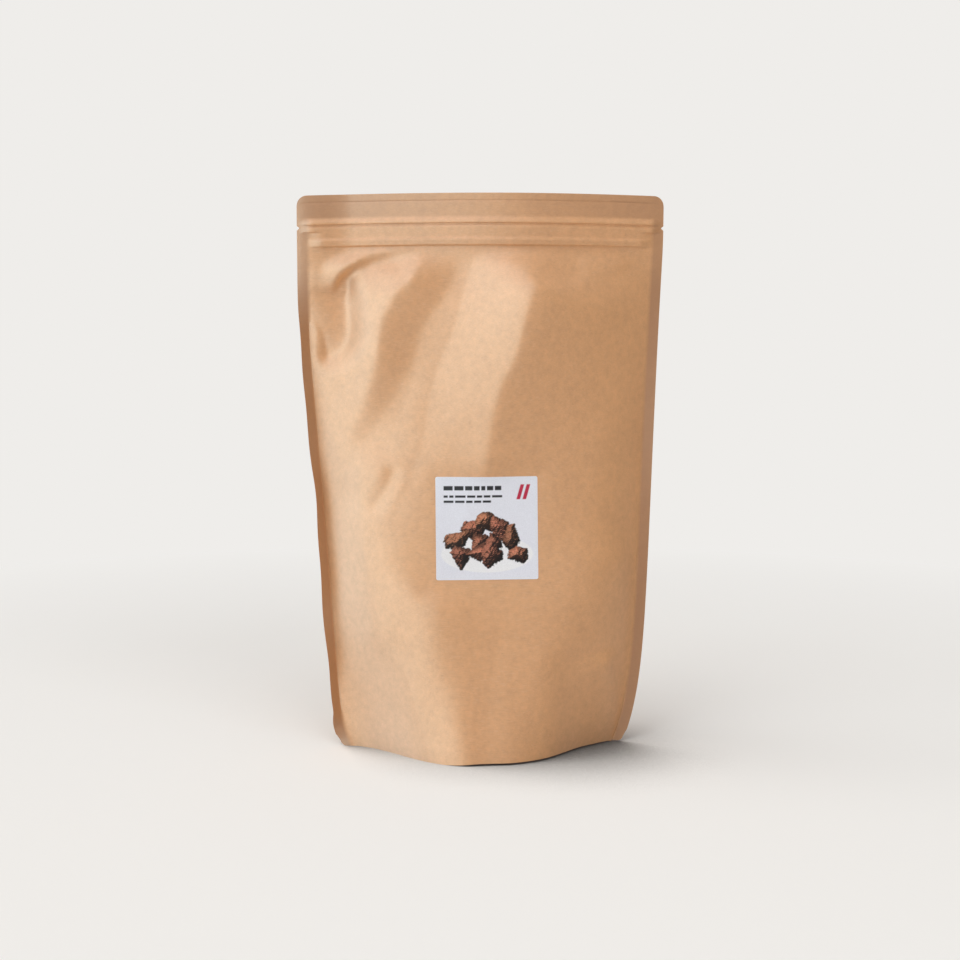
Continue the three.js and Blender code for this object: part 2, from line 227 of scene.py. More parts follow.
class PouchShape(bpy.types.PropertyGroup):
    film: FloatProperty(name="Film", description="Thickness of the two walls pressed together",
                        default=0.8 * MM, min=0.0, unit="LENGTH")
    fold_depth: FloatProperty(name="Fold depth", description="How deep the folds are, 1 as in the photo",
                              default=1.0, min=0.0)
    wrinkle: FloatProperty(name="Wrinkle", description="Height of the fine waves in the walls",
                           default=0.11 * MM, min=0.0, unit="LENGTH")
    seam_turn: FloatProperty(name="Seam turn", description="How far the left seam is bent to the front",
                             default=math.radians(38), subtype="ANGLE")
    header_bow: FloatProperty(name="Header bow", default=21.0 * MM, unit="LENGTH",
                              description="Size of the header's bow, whose crest stands 0.6 of it forwards")
    wall_columns: IntProperty(name="Wall columns", description="Grid columns between seams", default=144)
    seam_columns: IntProperty(name="Seam columns", description="Grid columns in each seam", default=8)
    body_rows: IntProperty(name="Body rows", description="Grid rows below the header", default=176)
    header_rows: IntProperty(name="Header rows", description="Grid rows in the header", default=72)


class PaperLook(bpy.types.PropertyGroup):
    base: FloatVectorProperty(name="Kraft", description="Colour of the kraft paper", subtype="COLOR",
                              default=(0.67, 0.342, 0.148), min=0.0, max=1.0)
    pale: FloatVectorProperty(name="Pale fibres", description="Colour of the palest fibres",
                              subtype="COLOR", default=(0.76, 0.48, 0.29), min=0.0, max=1.0)
    dark: FloatVectorProperty(name="Dark fibres", description="Colour of the darkest fibres",
                              subtype="COLOR", default=(0.36, 0.165, 0.07), min=0.0, max=1.0)
    roughness: FloatProperty(name="Roughness", description="Roughness of the satin paper", default=0.5,
                             min=0.0, max=1.0)
    specular: FloatProperty(name="Specular", description="Specular level of the paper", default=0.7,
                            min=0.0, max=1.0)
    coat: FloatProperty(name="Coat", description="Weight of the film's clear coat", default=0.6,
                        min=0.0, max=1.0)
    coat_roughness: FloatProperty(name="Coat roughness", description="Roughness of the clear coat",
                                  default=0.42, min=0.0, max=1.0)
    coat_ior: FloatProperty(name="Coat IOR", description="Refraction of the clear coat", default=1.6,
                            min=1.0)
    grain: FloatProperty(name="Grain", description="Height of the fibres in the surface",
                         default=0.11 * MM, min=0.0, unit="LENGTH")
    fleck: FloatProperty(name="Fleck size", description="Distance between the places for dark flecks",
                         default=1.6 * MM, min=0.0, unit="LENGTH")


class LabelLook(bpy.types.PropertyGroup):
    ground: FloatVectorProperty(name="Ground", description="Colour of the label's ground", subtype="COLOR",
                                default=(0.78, 0.79, 0.86), min=0.0, max=1.0)
    dish: FloatVectorProperty(name="Dish", description="Colour of the printed dish under the lumps",
                              subtype="COLOR", default=(0.86, 0.86, 0.88), min=0.0, max=1.0)
    lump: FloatVectorProperty(name="Lumps", description="Middle brown of the printed sugar lumps",
                              subtype="COLOR", default=(0.17, 0.058, 0.033), min=0.0, max=1.0)
    crystal: FloatVectorProperty(name="Crystals", description="Colour of the pale crystals on the lumps",
                                 subtype="COLOR", default=(0.55, 0.33, 0.2), min=0.0, max=1.0)
    accent: FloatVectorProperty(name="Accent", description="Colour of the small printed accent",
                                subtype="COLOR", default=(0.48, 0.012, 0.05), min=0.0, max=1.0)
    ink: FloatVectorProperty(name="Ink", description="Colour of the dark bars", subtype="COLOR",
                             default=(0.022, 0.02, 0.024), min=0.0, max=1.0)
    specular: FloatProperty(name="Specular", description="Specular level of the label", default=0.45,
                            min=0.0, max=1.0)
    grain: FloatProperty(name="Grain", description="Height of the fibres in the label's face",
                         default=0.012 * MM, min=0.0, unit="LENGTH")
    gap: FloatProperty(name="Gap", description="From the wall to the label's back", default=0.05 * MM,
                       unit="LENGTH")
    thick: FloatProperty(name="Thickness", description="Thickness of the label", default=0.16 * MM,
                         unit="LENGTH")
    corner: FloatProperty(name="Corner", description="Radius of the label's corners", default=1.0 * MM,
                          unit="LENGTH")
    steps: IntProperty(name="Steps", description="Grid steps along each side of the label", default=220)


class StudioLook(bpy.types.PropertyGroup):
    distance: FloatProperty(name="Distance", description="Level distance from the pouch to the camera",
                            default=1.100, unit="LENGTH")
    height: FloatProperty(name="Height", description="Height of the camera above the floor",
                          default=0.275, unit="LENGTH")
    turn: FloatProperty(name="Turn", description="How far round to the left the camera stands",
                        default=math.radians(4.5), subtype="ANGLE")
    aim_x: FloatProperty(name="Aim across", description="Where the camera aims, across", default=-0.0007,
                         unit="LENGTH")
    aim_z: FloatProperty(name="Aim height", description="Where the camera aims, above the floor",
                         default=0.1483, unit="LENGTH")
    lens: FloatProperty(name="Lens", description="Focal length for a 36 mm wide picture, in millimetres",
                        default=75.28)
    key_watts: FloatProperty(name="Key", description="Power of the large soft light at the left",
                             default=50.0, unit="POWER")
    key_turn: FloatProperty(name="Key turn", description="How far round to the left the key light stands",
                            default=math.radians(66), subtype="ANGLE")
    key_rise: FloatProperty(name="Key rise", description="Angle of the key light above the floor",
                            default=math.radians(62), subtype="ANGLE")
    sheen_watts: FloatProperty(name="Sheen", default=352.0, unit="POWER",
                               description="Power of the window at the left that only shows in gloss")
    sheen_turn: FloatProperty(name="Sheen turn", description="How far round to the left the window stands",
                              default=math.radians(70), subtype="ANGLE")
    sheen_rise: FloatProperty(name="Sheen rise", description="Angle of the window above the floor",
                              default=math.radians(0), subtype="ANGLE")
    sheen_colour: FloatVectorProperty(name="Sheen colour", description="Colour of the window's light",
                                      subtype="COLOR", default=(0.76, 0.98, 1.0), min=0.0, max=1.0)
    fill_watts: FloatProperty(name="Fill", description="Power of the low soft light at the front right",
                              default=20.0, unit="POWER")
    fill_turn: FloatProperty(name="Fill turn", description="How far round to the left the fill stands",
                             default=math.radians(-24), subtype="ANGLE")
    fill_rise: FloatProperty(name="Fill rise", description="Angle of the fill light above the floor",
                             default=math.radians(7), subtype="ANGLE")
    light_distance: FloatProperty(name="Light distance", description="From the pouch to the lights",
                                  default=2.7, unit="LENGTH")
    room: FloatProperty(name="Room", description="Brightness of the white ceiling", default=0.57)
    room_sides: FloatProperty(name="Room sides", description="Brightness of the room near the horizon",
                              default=0.06)
    room_floor: FloatProperty(name="Room floor", default=0.80,
                              description="Brightness of the lit floor as the paper mirrors it")
    room_colour: FloatVectorProperty(name="Room colour", description="Colour of the room's light",
                                     subtype="COLOR", default=(1.0, 0.99, 0.975), min=0.0, max=1.0)
    floor: FloatVectorProperty(name="Floor", description="Colour of the floor and backdrop",
                               subtype="COLOR", default=(0.863, 0.847, 0.823), min=0.0, max=1.0)
    # Reach and direction of the painted contact shadow in the floor's colour
    contact_reach: FloatProperty(name="Contact reach", description="How far the contact shade looks",
                                 default=0.11, min=0.0, unit="LENGTH")
    contact_way: FloatVectorProperty(name="Contact way", description="Which way the contact shade looks",
                                     subtype="DIRECTION", default=(-0.66, 0.52, 0.54))


# Small curves that the shapes are made of

def ramp(low, high, value):
    """From 0 at low to 1 at high, level at both ends: t squared times (3 - 2 t)."""
    t = np.clip((value - low) / (high - low), 0, 1)
    return t * t * (3 - 2 * t)


def positive(value):
    """value where it is positive, eased to 0 where it is negative: half of value + hypot(value, ease)."""
    ease = 0.05
    return (value + np.hypot(value, ease)) / 2


def smooth_path(path):
    """Even steps on a Catmull-Rom curve through the path: each stretch is a cubic whose end slopes are
    half the difference of the neighbours on both sides."""
    knots = np.array(path, float)
    knots = np.vstack([2 * knots[0] - knots[1], knots, 2 * knots[-1] - knots[-2]])
    spans = len(path) - 1
    at = np.linspace(0, spans, PATH_STEPS + 1)
    span = np.minimum(at.astype(int), spans - 1)
    t = (at - span)[:, None]
    a, b, c, d = (knots[span + k] for k in range(4))
    return 0.5 * (2 * b + (c - a) * t + (2 * a - 5 * b + 4 * c - d) * t**2 + (3 * b - a - 3 * c + d) * t**3)


def nearest_on_path(path, x, z):
    """Signed distance to the path, and how far along it the nearest place is, from 0 to 1."""
    points = smooth_path(path)
    far = np.full(x.shape, np.inf)
    side = np.zeros(x.shape)
    run = np.zeros(x.shape)
    for k in range(PATH_STEPS):
        (ax, az), (bx, bz) = points[k], points[k + 1]
        dx, dz = bx - ax, bz - az
        part = np.clip(((x - ax) * dx + (z - az) * dz) / (dx * dx + dz * dz), 0, 1)
        away = np.hypot(x - ax - part * dx, z - az - part * dz)
        nearer = away < far
        across = dx * (z - az) - dz * (x - ax)
        far = np.where(nearer, away, far)
        side = np.where(nearer, np.sign(across) * away, side)
        run = np.where(nearer, (k + part) / PATH_STEPS, run)
    return side, run


def fold_relief(fold, x, z):
    """A crease: height times (1 + crest - hypot(distance / width, crest)) to a power, 1.5 where none is
    given, which makes a round crest and hollow slopes. It fades out at both ends of the path, and its
    height goes evenly to the last one where that is given."""
    side, run = nearest_on_path(fold["path"], x, z)
    width = np.where(side < 0, fold["left"], fold["right"])
    rise = np.maximum(0, 1 + fold["crest"] - np.hypot(side / width, fold["crest"]))
    ends = ramp(0, 0.18, run) * ramp(0, 0.18, 1 - run)
    last = fold.get("last", fold["height"])
    return (fold["height"] + (last - fold["height"]) * run) * ends * rise ** fold.get("power", 1.5)


def dent_relief(dent, x, z):
    """A round hollow or swelling with a flat middle: height times (1 - r to the 4) squared, with r = 1 on
    its rim."""
    square = ((x - dent["x"]) / dent["wide"]) ** 2 + ((z - dent["z"]) / dent["tall"]) ** 2
    return dent["height"] * np.maximum(0, 1 - square**2) ** 2


def fine_waves(x, z, seed, shortest, longest, count=26):
    """A sum of plane sine waves with seeded directions, lengths and phases, about 1 high."""
    draw = np.random.default_rng(seed)
    total = np.zeros(x.shape)
    for _ in range(count):
        angle = draw.uniform(0, math.pi)
        length = math.exp(draw.uniform(math.log(shortest), math.log(longest)))
        phase = draw.uniform(0, 2 * math.pi)
        along = (x * math.cos(angle) + z * math.sin(angle)) / length
        total += np.sin(2 * math.pi * along + phase) * length / longest
    return total / math.sqrt(count / 2)


# The two walls

FRONT = {"facing": -1, "folds": FRONT_FOLDS, "dents": FRONT_DENTS, "foot_power": (0.9, 0.7), "seed": 11}
BACK = {"facing": 1, "folds": BACK_FOLDS, "dents": BACK_DENTS, "foot_power": (0.8, 0.8), "seed": 23}


def seam_reach(draw, z):
    """From X = 0 to a seam's outer edge: half the width less what the bulging body takes up, which is
    1 - (z / reach) to a power, and less the foot's corner, which fades upwards by an exponential."""
    body = draw["body"] * positive(1 - (np.maximum(z, 0) / draw["reach"]) ** draw["power"])
    return HALF - body - draw["corner"] * np.exp(-z / draw["fade"])


def both_sides(function, across, z):
    """function(draw, z) with the left or the right seam's numbers, as the sign of across asks."""
    return np.where(across < 0, function(LEFT_DRAW, z), function(RIGHT_DRAW, z))


def wall_depth(z):
    """How far a wall's middle stands out: a straight wedge that closes towards the zip by a cube."""
    closing = np.clip((z - NECK) / (ZIP_FOOT - NECK), 0, 1) ** 3
    return (FOOT_DEPTH - WALL_LEAN * z) * (1 - closing)


def bulge(out, z, power):
    """The wall's section from 1 in the middle to 0 at the seam: level and then an S-shaped flank at the
    foot, a power of a sine, and a full round one in the body, 1 - out to the 4.2, to the 1.1."""
    flank = np.minimum(1, (1 - out) / (1 - FOOT_LEVEL))
    foot = np.sin(flank * math.pi / 2) ** (2 * power)
    body = np.maximum(0, 1 - out**4.2) ** 1.1
    return foot + (body - foot) * ramp(0, FOOT_SECTION_TOP, z)


def under_label(x, z):
    """1 behind the label, which stiffens the wall, and 0 a little way outside it."""
    away = np.maximum(np.abs(x - LABEL_X), np.abs(z - LABEL_Z)) - LABEL_SIDE / 2
    return 1 - ramp(*LABEL_FADE, away)


def header_relief(out, below):
    """The header's lines: the tear line and the seal's foot run on into the seams, and the zip below
    them ends at the seams' inner edges."""
    places, amounts = zip(*HEADER_LINES)
    relief = np.interp(below, places, amounts)
    ends = np.where(below < SEAL_LINES_END, ramp(*SEAL_LINES_FADE, out), ramp(*ZIP_FADE, out))
    return relief * ends


def sway(x, z, bow):
    """How far both walls bow forwards together: the bow times a rounded tent across the header, about
    0.6 high at its crest right of the middle, which eases out downwards. A small turn near the left
    edge keeps that edge near the seams' plane."""
    tent = 0.6 + 0.25 - np.hypot((x - BOW_CREST) / HALF, 0.25)
    left_edge = 0.28 * ramp(-70, -100, x)
    return bow * (tent + left_edge) * ramp(BOW_START, ZIP_FOOT + 8, z)


def wall_waves(wall, x, z, out):
    """The wall's fine waves, about 1 high, which end at the seams and the foot and weaken at the zip."""
    waves = fine_waves(x, z, wall["seed"], shortest=9, longest=60)
    return waves * (1 - out**8) * ramp(0, 10, z) * (1 - 0.6 * ramp(ZIP_FOOT - 10, ZIP_FOOT, z))


def wall_relief(wall, x, z, out):
    """All folds and dents of a wall, which end just short of the seams and at the zip's foot."""
    relief = sum(fold_relief(fold, x, z) for fold in wall["folds"])
    relief = relief + sum(dent_relief(dent, x, z) for dent in wall["dents"])
    return relief * (1 - out**14) * ramp(0, 12, ZIP_FOOT + 2 - z)


def wall_out(wall, x, z, shape):
    """How far the outside of a wall stands from the seams' plane: half the film, plus wedge times
    section, plus the folds, dents and fine waves, plus the header's lines."""
    reach = both_sides(seam_reach, x, z) - SEAM
    out = np.minimum(1, np.abs(x) / reach)
    power = np.where(x < 0, *wall["foot_power"])
    relief = wall_relief(wall, x, z, out) * shape.fold_depth
    waves = wall_waves(wall, x, z, out) * shape.wrinkle / MM
    softness = 1 - LABEL_STIFFNESS * under_label(x, z) if wall is FRONT else 1
    body = wall_depth(z) * bulge(out, z, power) + (relief + waves) * softness
    header = header_relief(np.abs(x) / reach, HEIGHT - z)
    return shape.film / MM / 2 + np.maximum(0, body) + header


def corner_cut(size, from_edge):
    """How far a quarter round of this size cuts in at a distance from the side edge."""
    left = np.maximum(0, size - from_edge)
    return size - np.sqrt(np.maximum(0, size * size - left * left))


def rim_lift(x):
    """How far the front rim's right half hangs above the floor, fading out at its corner."""
    return FRONT_LIFT * ramp(*LIFT_FADE_IN, x) * ramp(*LIFT_FADE_OUT, x)


def sine_waves(z, waves):
    """The sum of sines: size times sin(z / length + phase)."""
    return sum(size * np.sin(z / length + phase) for size, length, phase in waves)


def seam_bend(across, z, turn):
    """The angle by which a seam is bent to the front. The left one has the turn times 1 + its waves,
    down to a small bend backwards at its foot, and the right one only waves a little."""
    left = turn * ramp(8, 22, z) * ramp(0, 55, ZIP_FOOT - 10 - z)
    left = left * (1 + sine_waves(z, LEFT_SEAM_WAVES)) - 0.3 * ramp(9, 2, z)
    right = sine_waves(z, RIGHT_SEAM_WAVES) * ramp(0, 60, ZIP_FOOT - z)
    return np.where(across < 0, left, right)


def notch_cut(z, beyond):
    """How far the tear notches cut in: a rounded tooth in the outer part of a seam."""
    tooth = 1 - np.abs(HEIGHT - z - NOTCH["below"]) / NOTCH["half"]
    return NOTCH["deep"] * ramp(0, 1, tooth) * ramp(0.6 * SEAM, SEAM, beyond)


def wall_points(wall, across, z, shape):
    """Grid places (across from -1 to 1, height) to points: even steps between the seams, with the seams
    flat or bent forwards, the top arched and the corners and tear notches cut."""
    edge = both_sides(seam_reach, across, z)
    beyond = np.maximum(0, np.abs(across) - SEAM_LINE) * HALF
    bend = seam_bend(across, z, shape.seam_turn)
    inner = np.minimum(np.abs(across), SEAM_LINE) / SEAM_LINE * (edge - SEAM)
    x = np.sign(across) * (inner + (beyond - notch_cut(z, beyond)) * np.cos(bend))
    seam_out = shape.film / MM / 2 + header_relief(np.abs(x) / (edge - SEAM), HEIGHT - z)
    out = np.where(beyond > 0, seam_out, wall_out(wall, x, z, shape))
    y = wall["facing"] * out - beyond * np.sin(bend) - sway(x, z, shape.header_bow / MM)

    from_edge = (1 - np.abs(across)) * HALF
    arch = TOP_ARCH * (x / HALF) ** 2 * ramp(200, ZIP_FOOT, z)
    top_cut = corner_cut(TOP_CORNER, from_edge) * ramp(HEIGHT - 2.2 * TOP_CORNER, HEIGHT, z)
    bottom_cut = corner_cut(BOTTOM_CORNER, from_edge) * ramp(2.5 * BOTTOM_CORNER, 0, z)
    lift = rim_lift(x) * ramp(30, 0, z) if wall is FRONT else 0
    return np.stack([x, y, z - arch - top_cut + bottom_cut + lift], axis=-1)


# Meshes

def mesh_piece(name, points, quads, triangles=()):
    """A smooth mesh object from points in millimetres and arrays of face corners."""
    mesh = bpy.data.meshes.new(name)
    quads = np.asarray(quads, np.int32).reshape(-1, 4)
    triangles = np.asarray(triangles, np.int32).reshape(-1, 3)
    corners = np.concatenate([quads.ravel(), triangles.ravel()])
    starts = np.concatenate([np.arange(len(quads)) * 4, len(quads) * 4 + np.arange(len(triangles)) * 3])
    mesh.vertices.add(len(points))
    mesh.vertices.foreach_set("co", (np.asarray(points) * MM).ravel())
    mesh.loops.add(len(corners))
    mesh.loops.foreach_set("vertex_index", corners)
    mesh.polygons.add(len(starts))
    mesh.polygons.foreach_set("loop_start", starts.astype(np.int32))
    mesh.update(calc_edges=True)
    mesh.polygons.foreach_set("use_smooth", np.ones(len(starts), bool))
    mesh.set_sharp_from_angle(angle=SHARP_ANGLE)
    piece = bpy.data.objects.new(name, mesh)
    bpy.context.scene.collection.objects.link(piece)
    return piece


def grid_quads(numbers):
    """Quads between neighbouring rows and columns of a grid of vertex numbers, rows upwards."""
    corners = [numbers[:-1, :-1], numbers[:-1, 1:], numbers[1:, 1:], numbers[1:, :-1]]
    return np.stack(corners, -1).reshape(-1, 4)


def attribute(piece, name, values):
    """Stores one number for each vertex, for the material to read."""
    layer = piece.data.attributes.new(name, "FLOAT", "POINT")
    layer.data.foreach_set("value", np.asarray(values, np.float32).ravel())


def column_places(shape):
    """Places across a wall from -1 to 1: close together at the outer edges of the seams."""
    k = np.arange(shape.seam_columns) / shape.seam_columns
    left = -1 + (1 - SEAM_LINE) * k**1.4
    wall = np.linspace(-SEAM_LINE, SEAM_LINE, shape.wall_columns + 1)
    return np.concatenate([left, wall, -left[::-1]])


def row_heights(shape):
    """Heights of the rows: closer together at the foot, then the header's own even, closer rows."""
    body = (ZIP_FOOT - 3) * (np.arange(shape.body_rows) / shape.body_rows) ** 1.08
    header = np.linspace(ZIP_FOOT - 3, HEIGHT, shape.header_rows)
    return np.concatenate([body, header])


def base_lines(front, back, places):
    """The gusset under the pouch: from the front rim to the back one, each column runs along the standing
    rim, up into the groove and down to the belly, which lifts where it runs into a corner. The section
    shrinks where the pouch is less deep than it, and a part of the front rim hangs above the floor."""
    half_depth = (back[:, 1] - front[:, 1]) / 2
    insets, shares = np.array(GROOVE_SECTION).T
    fit = np.minimum(1, half_depth / (insets[-1] + 1))
    belly_edge = insets[-1] * fit
    near_middle = np.linspace(0, 1, BELLY_ROWS + 1)[1:]
    belly = belly_edge + (half_depth - belly_edge) * near_middle[:, None]
    inset = np.concatenate([insets[:, None] * fit, belly])
    groove = np.concatenate([shares * GROOVE_DEPTH, np.zeros(BELLY_ROWS)])[:, None] * fit
    lift = CORNER_LIFT * ramp(0.6, 1, np.abs(places) / SEAM_LINE) * np.minimum(1, half_depth / 6)
    z = np.maximum(groove, lift * ramp(0, 6, inset))
    hung = np.maximum(z, rim_lift(front[:, 0]) * ramp(9, 6, inset))
    first = np.stack([np.broadcast_to(front[:, 0], z.shape), front[:, 1] + inset, hung], -1)
    second = np.stack([np.broadcast_to(front[:, 0], z.shape), back[:, 1] - inset, z], -1)
    return np.concatenate([first, second[:-1][::-1]])


def surface_parts(across, z, inside, shape):
    """Points of the walls, of the thin lines between them along the cut edges, and of the base."""
    front = wall_points(FRONT, across, z, shape)
    back = wall_points(BACK, across, z, shape)
    middle = (front + back) / 2
    left = middle[:, 0] + [EDGE_SINK, 0, 0]
    right = middle[:, -1] - [EDGE_SINK, 0, 0]
    top = middle[-1, 1:-1] - [0, 0, EDGE_SINK]
    base = base_lines(front[0, inside], back[0, inside], across[0, inside])
    return [front, back, left, right, top, base]


def vertex_numbers(parts):
    """For each part, its points' numbers in the joined mesh, in the part's own rows and columns."""
    sizes = [part.reshape(-1, 3).shape[0] for part in parts]
    starts = np.concatenate([[0], np.cumsum(sizes)[:-1]])
    return [start + np.arange(size).reshape(part.shape[:-1])
            for start, size, part in zip(starts, sizes, parts)]


def surface_quads(numbers, inside, seam):
    """The quads of the walls, of the narrow strips along the cut edges, and of the base."""
    front, back, left, right, top, base = numbers
    return np.concatenate([
        grid_quads(front),
        grid_quads(back)[:, ::-1],
        grid_quads(np.stack([left, front[:, 0]], 1)),
        grid_quads(np.stack([back[:, 0], left], 1)),
        grid_quads(np.stack([front[:, -1], right], 1)),
        grid_quads(np.stack([right, back[:, -1]], 1)),
        grid_quads(np.stack([front[-1, 1:-1], top])),
        grid_quads(np.stack([top, back[-1, 1:-1]])),
        grid_quads(np.stack([back[0, :seam + 1], front[0, :seam + 1]])),
        grid_quads(np.stack([back[0, -seam - 1:], front[0, -seam - 1:]])),
        grid_quads(np.vstack([front[0, inside], base, back[0, inside]]))[:, ::-1],
    ])


def surface_triangles(numbers, seam):
    """The triangles that close the strips' ends and the base's corners."""
    front, back, left, right, top, base = numbers
    made = []
    for end, step, thin in ((0, 1, left), (-1, -1, right)):
        made.append(fan(thin[0], [front[0, end], back[0, end]], step < 0))
        ring = [front[-1, end], front[-1, end + step], top[end], back[-1, end + step], back[-1, end]]
        made.append(fan(thin[-1], ring, step < 0))
    return np.concatenate(made + corner_fans(front[0], back[0], base, seam))


def build_pouch(shape):
    """The closed surface: both walls, a thin line between them along the cut edges, and the base."""
    places = column_places(shape)
    across, z = np.meshgrid(places, row_heights(shape))
    seam = shape.seam_columns
    inside = slice(seam + 1, len(places) - seam - 1)
    parts = surface_parts(across, z, inside, shape)
    numbers = vertex_numbers(parts)
    points = np.concatenate([part.reshape(-1, 3) for part in parts])
    quads = surface_quads(numbers, inside, seam)
    pouch = mesh_piece("pouch_body", points, quads, surface_triangles(numbers, seam))
    attribute(pouch, "cut_edge", cut_edge_mask(numbers, len(points)))
    attribute(pouch, "sealed", sealed_mask(across, z, len(points)))
    return pouch


def fan(tip, ring, flip):
    """Triangles from a tip to the neighbouring points of a ring."""
    ring = np.asarray(ring)
    first, second = (ring[1:], ring[:-1]) if flip else (ring[:-1], ring[1:])
    return np.stack([np.full(len(first), tip), first, second], -1)


def corner_fans(front, back, base, seam):
    """Closes the base at each seam line, where its front and back points are nearly together."""
    made = []
    for at, column, flip in ((seam, 0, True), (len(front) - 1 - seam, -1, False)):
        inner = at + 1 if column == 0 else at - 1
        ring = np.concatenate([[front[inner]], base[:, column], [back[inner]]])
        half = len(ring) // 2
        made.append(fan(front[at], ring[:half + 1], flip))
        made.append(fan(back[at], ring[half:], flip))
        made.append(fan(front[at], [ring[half], back[at]], flip))
    return made


def cut_edge_mask(numbers, count):
    """1 on the thin lines of the raw cut edges, 0.55 on the walls' points beside them and 0 elsewhere."""
    mask = np.zeros(count)
    front, back, left, right, top, _ = numbers
    for line in (left, right, top):
        mask[line] = 1
    for wall in (front, back):
        mask[wall[:, 0]] = mask[wall[:, -1]] = mask[wall[-1]] = 0.55
    return mask


def sealed_mask(across, z, count):
    """How strongly the two films are heat-sealed together, up to 1: the side seams, weaker beside the
    header, and the strip along the top, which is sealed harder towards its ends. The two walls' points
    come first in the mesh."""
    sides = ramp(SEAM_LINE - 0.004, SEAM_LINE + 0.004, np.abs(across))
    sides = sides * (1 - (1 - SEALED["beside_header"]) * ramp(ZIP_FOOT - 25, ZIP_FOOT, z))
    top = SEALED["top"] + SEALED["more"] * np.abs(across - SEALED["middle"])
    top = top * ramp(HEIGHT - TOP_SEAL - 1, HEIGHT - TOP_SEAL + 1, z)
    wall = np.maximum(sides, top).ravel()
    mask = np.zeros(count)
    mask[:2 * len(wall)] = np.concatenate([wall, wall])
    return mask


def label_grid(look):
    """Even places over a square from -1 to 1, with its corners drawn in to quarter rounds: in a corner's
    own square each place is scaled by the root of 1 - half the other one's square."""
    line = np.linspace(-1, 1, look.steps + 1)
    u, v = np.meshgrid(line, line)
    radius = look.corner / MM / (LABEL_SIDE / 2)
    a = np.maximum(0, (np.abs(u) - (1 - radius)) / radius)
    b = np.maximum(0, (np.abs(v) - (1 - radius)) / radius)
    round_u = np.sign(u) * (1 - radius + radius * a * np.sqrt(1 - b * b / 2))
    round_v = np.sign(v) * (1 - radius + radius * b * np.sqrt(1 - a * a / 2))
    return np.where(a > 0, round_u, u), np.where(b > 0, round_v, v)


def build_label(look, shape):
    """A thin plate with a printed face that follows the wall it is stuck to."""
    u, v = label_grid(look)
    x = LABEL_X + u * LABEL_SIDE / 2
    z = LABEL_Z + v * LABEL_SIDE / 2
    wall = -wall_out(FRONT, x, z, shape) - sway(x, z, shape.header_bow / MM)
    inner = np.stack([x, wall - look.gap / MM, z], -1)
    outer = np.stack([x, wall - (look.gap + look.thick) / MM, z], -1)
    count = u.size
    glued = np.arange(count).reshape(u.shape)
    printed = glued + count
    quads = [
        grid_quads(printed),
        grid_quads(glued)[:, ::-1],
        grid_quads(np.stack([glued[:, 0], printed[:, 0]], 1)),
        grid_quads(np.stack([printed[:, -1], glued[:, -1]], 1)),
        grid_quads(np.stack([printed[-1], glued[-1]])),
        grid_quads(np.stack([glued[0], printed[0]])),
    ]
    points = np.concatenate([inner.reshape(-1, 3), outer.reshape(-1, 3)])
    label = mesh_piece("label_sticker", points, np.concatenate(quads))
    colours = np.ones((2 * count, 4))
    colours[:count, :3] = look.ground[:]
    colours[count:, :3] = printed_design(u, v, look).reshape(-1, 3)
    layer = label.data.attributes.new("print", "FLOAT_COLOR", "POINT")
    layer.data.foreach_set("color", colours.astype(np.float32).ravel())
    return label


# The label's printed design

def printed_design(u, v, look):
    """Colours of the print over places from -1 to 1: a plain ground, a heap of sugar lumps on a pale
    dish at the bottom, two leaning accent strokes at the top right and lines of dark bars at its left."""
    colour = np.broadcast_to(np.array(look.ground[:]), u.shape + (3,)).copy()
    colour = paint(colour, dish_mask(u, v), look.dish[:])
    colour = paint_lumps(colour, u, v, look)
    for step in range(2):
        colour = paint(colour, stroke_mask(u, v, step), look.accent[:])
    return paint(colour, bar_mask(u, v), look.ink[:])


def paint(colour, mask, ink):
    """Mixes an ink, or a colour for each place, over the colours where the mask is 1."""
    return colour + (np.array(ink) - colour) * mask[..., None]


def dish_mask(u, v):
    """A wide low ellipse with a soft edge, the dish under the heap."""
    return ramp(1.03, 0.97, np.hypot(u / DISH["wide"], (v - DISH["v"]) / DISH["tall"]))


def stroke_mask(u, v, step):
    """A leaning stroke with square ends, a number of steps right of the first one."""
    up = v - STROKE["v"]
    across = u - STROKE["u"] - step * STROKE["step"] - STROKE["lean"] * up
    return ramp(0.042, 0.03, np.abs(across)) * ramp(0.15, 0.14, np.abs(up))


def bar_mask(u, v):
    """Short dark bars of seeded lengths in three lines, in place of words."""
    draw = np.random.default_rng(5)
    mask = np.zeros(u.shape)
    for top, tall, start, end in BAR_LINES:
        place = start
        while place < end:
            long = draw.uniform(0.07, 0.2)
            inside = ramp(-0.008, 0.004, np.minimum(u - place, place + long - u))
            inside = inside * ramp(-0.008, 0.004, np.minimum(top - v, v - top + tall))
            mask = np.maximum(mask, inside)
            place += long + 0.035
    return mask


def heap_places(draw):
    """Seeded middles and sizes of the lumps: three rows, the back one highest and shortest."""
    places = []
    for count, level in LUMP_ROWS:
        width = 0.17 * count + 0.02
        for k in range(count):
            u = -width + 2 * width * (k + 0.5) / count + draw.uniform(-0.04, 0.04)
            places.append((u, level + draw.uniform(-0.06, 0.06), draw.uniform(0.25, 0.31)))
    return places


def lump_height(right, up, rough, crystals, draw):
    """The lowest of a round dome, 1 - right squared - up squared, and of seeded leaning planes, all
    roughened by fine waves: positive on the lump and negative round it."""
    height = 1 - right**2 - up**2 + 0.08 * rough + 0.02 * crystals
    for _ in range(LUMP_PLANES):
        around = draw.uniform(0, 2 * math.pi)
        lean = draw.uniform(0.5, 1.5)
        level = draw.uniform(0.65, 0.95) - lean * (right * math.cos(around) + up * math.sin(around))
        height = np.minimum(height, level + 0.06 * rough + 0.03 * crystals)
    return height


